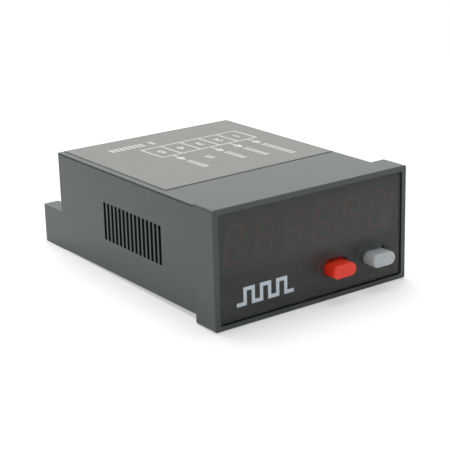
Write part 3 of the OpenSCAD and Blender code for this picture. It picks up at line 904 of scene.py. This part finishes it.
@dataclass
class Mark:
    """Flat printed shapes on one face, in a frame of their own.

    Attributes:
        origin: Corner of the print in the part's frame.
        right: Direction of the print's x.
        up: Direction of the print's y.
        thick: Height of the ink.
        corner: Radius of a rounded bar's corners, as a share of its width.
        corner_faces: Faces across such a corner.
        type_size: Size of the type, as a multiple of a figure's height.
        type_bold: How much bolder the type is, as a share of a figure's height.
        type_steps: Steps in which a figure's curves are drawn.
        strokes: The shapes so far.
    """

    origin: Vector
    right: Vector
    up: Vector
    thick: float = 0.02 * MM
    corner: float = 0.3
    corner_faces: int = 3
    type_size: float = 1.4
    type_bold: float = 0.04
    type_steps: int = 4
    strokes: list[Piece] = field(default_factory=list)

    def bar(self, x: Span, y: Span, rounded: bool = False) -> None:
        """Adds an upright rectangle.

        Args:
            x: Its left and right.
            y: Its bottom and top.
            rounded: Whether its corners are rounded.
        """
        deselect()
        size = (x[1] - x[0], y[1] - y[0], self.thick)
        middle = ((x[0] + x[1]) / 2, (y[0] + y[1]) / 2, self.thick / 2)
        bpy.ops.mesh.primitive_cube_add(size=1, location=middle, scale=size)
        piece = bpy.context.object
        settle(piece)
        if rounded:
            self.round_corners(piece, min(size[0], size[1]) * self.corner)
        self.strokes.append(piece)

    def round_corners(self, piece: Piece, radius: float) -> None:
        """Rounds the four edges of a bar that stand on the face.

        Args:
            piece: The bar.
            radius: Radius of the rounding.
        """
        bpy.ops.object.mode_set(mode="EDIT")
        bpy.ops.mesh.select_mode(type="EDGE")
        bpy.ops.mesh.select_all(action="DESELECT")
        bpy.ops.object.mode_set(mode="OBJECT")
        for edge in piece.data.edges:
            a, b = (piece.data.vertices[i].co for i in edge.vertices)
            edge.select = abs(a.z - b.z) > self.thick / 2
        bpy.ops.object.mode_set(mode="EDIT")
        bpy.ops.mesh.bevel(offset=radius, segments=self.corner_faces)
        bpy.ops.object.mode_set(mode="OBJECT")

    def dart(self, x: float, tip: float, width: float, length: float) -> None:
        """Adds an arrow head that points down.

        Args:
            x: Its middle.
            tip: Height of its tip.
            width: Its width.
            length: Its length.
        """
        deselect()
        bpy.ops.mesh.primitive_cylinder_add(vertices=3, radius=1, depth=1, location=(0, 0, 0))
        piece = bpy.context.object
        corners = [(x, tip), (x + width / 2, tip + length), (x - width / 2, tip + length)]
        spots = [(round(p.co.x, 4), round(p.co.y, 4)) for p in piece.data.vertices]
        order = sorted(set(spots), key=lambda spot: math.atan2(spot[1], spot[0]))
        for point, spot in zip(piece.data.vertices, spots):
            point.co = (*corners[order.index(spot)], self.thick if point.co.z > 0 else 0.0)
        settle(piece)
        self.strokes.append(piece)

    def number(self, text: str, x: float, y: float, height: float) -> None:
        """Adds one plain number, which stands on its head in this frame.

        Args:
            text: Its figures.
            x: Its middle.
            y: Its middle.
            height: Its height.
        """
        deselect()
        bpy.ops.object.text_add()
        letters = bpy.context.object.data
        letters.body = text
        letters.align_x = "CENTER"
        letters.align_y = "CENTER"
        letters.size = height * self.type_size
        letters.extrude = self.thick / 2
        letters.offset = height * self.type_bold
        letters.resolution_u = self.type_steps
        bpy.ops.object.convert(target="MESH")
        piece = bpy.context.object
        piece.location = (x, y, self.thick / 2)
        piece.rotation_euler = (0, 0, math.pi)
        settle(piece)
        self.strokes.append(piece)

    def finish(self, name: str, stuff: Stuff) -> None:
        """Joins the strokes and lays them on the face.

        Args:
            name: Name of the piece.
            stuff: Its ink.
        """
        piece = join(name, self.strokes)
        piece.matrix_world = posed(self.origin, self.right, self.up, self.right.cross(self.up))
        settle(piece)
        bpy.ops.object.mode_set(mode="EDIT")
        bpy.ops.mesh.select_all(action="SELECT")
        bpy.ops.mesh.normals_make_consistent(inside=False)
        bpy.ops.object.mode_set(mode="OBJECT")
        place(piece, "housing", stuff)


# ---------------------------------------------------------------------------
# Sub-assemblies
# ---------------------------------------------------------------------------


@dataclass
class Case:
    """The housing and the window in its front.

    Attributes:
        window_edge: Polished edge of the window.
        window_rise: How far the window's upper edge is pushed up into its play.
        key_play: How much further the keys' holes reach upwards.
        key_reach: Distance from a key within which the window's corners are its hole's.
        seam_drop: Depth of the painted seam shadows below the top.
        seam_width: Width of the painted seam shadows.
    """

    window_edge: float = 0.12 * MM
    window_rise: float = 0.3 * MM
    key_play: float = 0.5 * MM
    key_reach: float = 1.5 * MM
    seam_drop: float = 0.24 * MM
    seam_width: float = 0.3 * MM

    def shell(self) -> None:
        """Dresses the housing."""
        dress(Stuff.HOUSING, "housing")

    def window(self) -> None:
        """Makes the window with polished edges, pushed up in its play."""
        piece = merged_copy("window_sheet", "display_window")
        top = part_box("display_window")[1].z
        for point in piece.data.vertices:
            if point.co.z > top / 2:
                point.co.z += self.window_rise
        for key in ("reset_button", "set_button"):
            low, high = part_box(key)
            middle = (low + high) / 2
            reach = (high.x - low.x) / 2 + self.key_reach
            for point in piece.data.vertices:
                beside = abs(point.co.x - middle.x) > reach
                if not beside and middle.z < point.co.z < high.z + self.key_reach:
                    point.co.z += self.key_play
        bevel(piece, self.window_edge)
        smooth(piece)
        place(piece, "housing", Stuff.WINDOW, ("display_window",))

    def seams(self) -> None:
        """Lays painted shade along the joint between side wall and top, on each side."""
        low, high = body_box()
        upright = Vector((0, 0, 1))
        for name, x, along in (("left_seam_shadow", low.x, -1), ("right_seam_shadow", high.x, 1)):
            mark = Mark(Vector((x, 0, high.z - self.seam_drop)), Vector((0, along, 0)), upright)
            mark.bar((0, high.y) if along > 0 else (-high.y, 0), (-self.seam_width, 0))
            mark.finish(name, Stuff.SEAM)

    def build(self) -> None:
        """Builds housing, window and the painted seam shadows."""
        self.shell()
        self.window()
        self.seams()


@dataclass
class TypeLabel:
    """The label on the top, with a terminal plan in print.

    Attributes:
        line: Width of the plan's lines.
        cell: Width of one cell.
        plan_left: How far the plan stands left of the terminals.
        plan_back: Distance from the label's rear edge to the plan.
        plan_deep: Depth of the plan.
        figure: Height of a terminal's number.
        slant: Turn of the print on the label, in degrees.
        cut_slant: Slope of the label's front edge, in degrees.
        bare_cell: Place of the cell that has no arrow, counted from 0 at the left.
        arrow: Length of an arrow.
        arrow_gap: Gap between an arrow and the plan.
        head: Width and length of an arrow's head.
        border: Width of the dark line round the label.
        border_drop: How far that line lies below the film.
        film_edge: Rounding of the film's edges.
        words: Drop and count of letters of each word, from the left.
        letter: Width and pitch of a letter's block.
        letter_tall: Height of a letter's block.
        row_left: How far the row behind the plan starts left of the first cell's middle.
        row_back: Distance from the label's rear edge to that row.
        row_block: Width and height of a block of the row.
        row_pitch: Pitch of the row's blocks.
        row_count: Number of places in the row.
        row_space: The place that is left free.
    """

    line: float = 0.7 * MM
    cell: float = 7.62 * MM
    plan_left: float = 0.9 * MM
    plan_back: float = 15.8 * MM
    plan_deep: float = 11.9 * MM
    figure: float = 3.6 * MM
    slant: float = 1.7
    cut_slant: float = 1.6
    bare_cell: int = 1
    arrow: float = 7.3 * MM
    arrow_gap: float = 0.3 * MM
    head: Span = (3.0 * MM, 3.6 * MM)
    border: float = 0.3 * MM
    border_drop: float = 0.02 * MM
    film_edge: float = 0.01 * MM
    words: tuple[tuple[float, int], ...] = (
        (9.0 * MM, 5), (8.2 * MM, 2), (8.6 * MM, 5), (8.6 * MM, 6), (8.6 * MM, 8))
    letter: Span = (1.35 * MM, 2.0 * MM)
    letter_tall: float = 2.5 * MM
    row_left: float = 12.2 * MM
    row_back: float = 12.2 * MM
    row_block: Span = (1.35 * MM, 3.8 * MM)
    row_pitch: float = 1.95 * MM
    row_count: int = 9
    row_space: int = 7

    def surface(self) -> Mark:
        """Starts a print on the label, turned about its middle.

        Returns:
            A mark whose x runs to the right and whose y runs to the rear.
        """
        low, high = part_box("type_label")
        turn = Matrix.Rotation(math.radians(self.slant), 3, "Z")
        middle = Vector(((low.x + high.x) / 2, (low.y + high.y) / 2, 0))
        origin = middle - turn @ middle
        origin.z = high.z
        return Mark(origin, turn @ Vector((1, 0, 0)), turn @ Vector((0, 1, 0)))

    def middle(self) -> float:
        """Returns the middle of the plan."""
        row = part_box("terminal_screw_1")[0].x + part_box("terminal_screw_5")[1].x
        return row / 2 - self.plan_left

    def columns(self) -> list[float]:
        """Returns the middles of the cells, from the left."""
        return [self.middle() + (i - (TERMINALS - 1) / 2) * self.cell for i in range(TERMINALS)]

    def plan(self) -> None:
        """Prints the cells and their arrows."""
        mark = self.surface()
        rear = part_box("type_label")[1].y - self.plan_back
        front = rear - self.plan_deep
        left = self.columns()[0] - self.cell / 2
        right = self.columns()[-1] + self.cell / 2
        half = self.line / 2
        for y in (front, rear):
            mark.bar((left - half, right + half), (y - half, y + half))
        for i in range(TERMINALS + 1):
            x = left + i * self.cell
            mark.bar((x - half, x + half), (front + half, rear - half))
        for i, x in enumerate(self.columns()):
            if i != self.bare_cell:
                tip = front - self.arrow - half
                mark.bar((x - half, x + half), (tip + self.head[1], front - half - self.arrow_gap))
                mark.dart(x, tip, *self.head)
        mark.finish("label_terminal_plan", Stuff.INK)

    def numbers(self) -> None:
        """Prints the terminals' numbers, to be read from behind."""
        mark = self.surface()
        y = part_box("type_label")[1].y - self.plan_back - self.plan_deep / 2
        for i, x in enumerate(self.columns()):
            mark.number(str(TERMINALS - i), x, y, self.figure)
        mark.finish("label_numbers", Stuff.INK)

    def greeked(self) -> None:
        """Prints rows of plain blocks where a label has words."""
        mark = self.surface()
        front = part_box("type_label")[1].y - self.plan_back - self.plan_deep
        width, pitch = self.letter
        tall = self.letter_tall
        for x, (drop, count) in zip(self.columns(), self.words):
            for k in range(count):
                top = front - drop - k * pitch
                mark.bar((x - tall / 2, x + tall / 2), (top - width, top), rounded=True)
        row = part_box("type_label")[1].y - self.row_back
        start = self.columns()[0] - self.row_left
        width, tall = self.row_block
        for k in range(self.row_count):
            if k != self.row_space:
                x = start + k * self.row_pitch
                mark.bar((x, x + width), (row, row + tall), rounded=True)
        mark.finish("label_blocks", Stuff.PALE_INK)

    def sheet(self, name: str, stuff: Stuff, inset: float = 0.0, drop: float = 0.0) -> None:
        """Makes one layer of the label, whose front edge isn't cut quite square.

        Args:
            name: Name of the piece.
            stuff: What it is made of.
            inset: How far it stands in from the label's edges.
            drop: How far it lies below the label's face.
        """
        low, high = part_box("type_label")
        middle = (low + high) / 2
        slope = math.tan(math.radians(self.cut_slant))
        piece = merged_copy(name, "type_label")
        for point in piece.data.vertices:
            point.co.x -= inset * (point.co.x - middle.x) / (high.x - middle.x)
            if point.co.y < middle.y:
                point.co.y += slope * (point.co.x - middle.x) + inset
            if point.co.z > middle.z:
                point.co.z -= drop
        bevel(piece, self.film_edge, 1)
        place(piece, "housing", stuff, ("type_label",))

    def build(self) -> None:
        """Builds the label on its dark edge, and its print."""
        self.sheet("label_edge", Stuff.LABEL_LINE, drop=self.border_drop)
        self.sheet("label_film", Stuff.LABEL, inset=self.border)
        self.plan()
        self.numbers()
        self.greeked()


@dataclass
class Pictogram:
    """A pulse train printed at the window's lower left, the plain sign of a counter.

    Attributes:
        left: Distance from the window's left edge.
        low: Distance from the window's lower edge.
        width: Width of the sign.
        height: Height of the sign.
        line: Width of its line.
        pulses: Number of pulses.
    """

    left: float = 5.7 * MM
    low: float = 3.8 * MM
    width: float = 20.5 * MM
    height: float = 5.5 * MM
    line: float = 1.15 * MM
    pulses: int = 3

    def build(self) -> None:
        """Prints the pulse train as one line that steps up and down."""
        low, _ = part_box("display_window")
        corner = Vector((low.x + self.left, low.y, low.z + self.low))
        mark = Mark(corner, Vector((1, 0, 0)), Vector((0, 0, 1)))
        last = 2 * self.pulses
        step = self.width / (last + 1)
        half = self.line / 2
        for i in range(last + 1):
            y = self.height - self.line if i % 2 else 0.0
            start = i * step - (half if i else 0)
            end = (i + 1) * step + (half if i < last else 0)
            mark.bar((start, end), (y, y + self.line))
            if i:
                mark.bar((i * step - half, i * step + half), (self.line, self.height - self.line))
        mark.finish("pulse_sign", Stuff.PICTOGRAM)


@dataclass
class Keys:
    """The two keys, their plungers and their switches.

    Attributes:
        round_angle: Degrees below which a cap's faces are shaded as one round face.
    """

    round_angle: float = 50.0

    def cap(self, name: str, node: str, body: str, stuff: Stuff) -> None:
        """Makes one key with its round edge smooth.

        Args:
            name: Name of the piece.
            node: CAD node that it stands for.
            body: Body that it rides on.
            stuff: What it is made of.
        """
        piece = merged_copy(name, node)
        smooth(piece, self.round_angle)
        place(piece, body, stuff, (node,))

    def build(self) -> None:
        """Builds both keys and dresses what lies behind them."""
        self.cap("reset_key_cap", "reset_button", "reset_key", Stuff.RED_KEY)
        self.cap("set_key_cap", "set_button", "set_key", Stuff.GREY_KEY)
        for key in ("reset", "set"):
            dress(Stuff.BLACK, f"{key}_plunger", f"{key}_switch_base")
            dress(Stuff.TIN, f"{key}_switch_cover", f"{key}_dome")


@dataclass
class Display:
    """The digits, the guide of the keys and the board behind them."""

    def build(self) -> None:
        """Dresses the display."""
        for i in range(1, DIGITS + 1):
            dress(Stuff.DIGIT, f"digit_{i}")
            dress(Stuff.SEGMENT, f"segments_{i}")
        dress(Stuff.GUIDE, "button_guide")
        dress(Stuff.BOARD, "display_board")


@dataclass
class MainBoard:
    """The main board and the parts on it."""

    def build(self) -> None:
        """Dresses the board and its parts."""
        dress(Stuff.BOARD, "main_board")
        dress(Stuff.BLACK, "board_header")
        dress(Stuff.BRASS, "header_pins")
        dress(Stuff.CHIP, "microcontroller", "regulator")
        dress(Stuff.TIN, "crystal")
        dress(Stuff.SLEEVE, "capacitor_large", "capacitor_small")
        dress(Stuff.FERRITE, "choke")
        dress(Stuff.WHITE, "optocoupler_1", "optocoupler_2")


@dataclass
class Terminals:
    """The terminal block with its screws, clamps and contacts.

    Attributes:
        edge: Rounding of the block's edges.
        screw_edge: Rounding of a screw's edges.
    """

    edge: float = 0.12 * MM
    screw_edge: float = 0.06 * MM

    def build(self) -> None:
        """Builds the block and the screws, and dresses clamps and contacts."""
        block = merged_copy("terminal_body", "terminal_block")
        bevel(block, self.edge)
        smooth(block)
        place(block, "housing", Stuff.TERMINAL, ("terminal_block",))
        for i in range(1, TERMINALS + 1):
            screw = merged_copy(f"screw_head_{i}", f"terminal_screw_{i}")
            bevel(screw, self.screw_edge)
            smooth(screw)
            place(screw, f"screw_{i}", Stuff.ZINC, (f"terminal_screw_{i}",))
            dress(Stuff.PASSIVATE, f"wire_clamp_{i}")
            dress(Stuff.BRASS, f"contact_{i}")


def main() -> None:
    """Builds the studio and the meter, and logs each part as it is built."""
    logging.basicConfig(level=logging.INFO, format="%(name)s: %(message)s")
    for part in (Studio(), Case(), TypeLabel(), Pictogram(), Keys(), Display(), MainBoard(),
                 Terminals()):
        part.build()
        log.info("%s built", type(part).__name__)
    deselect()


if __name__ == "__main__":
    main()
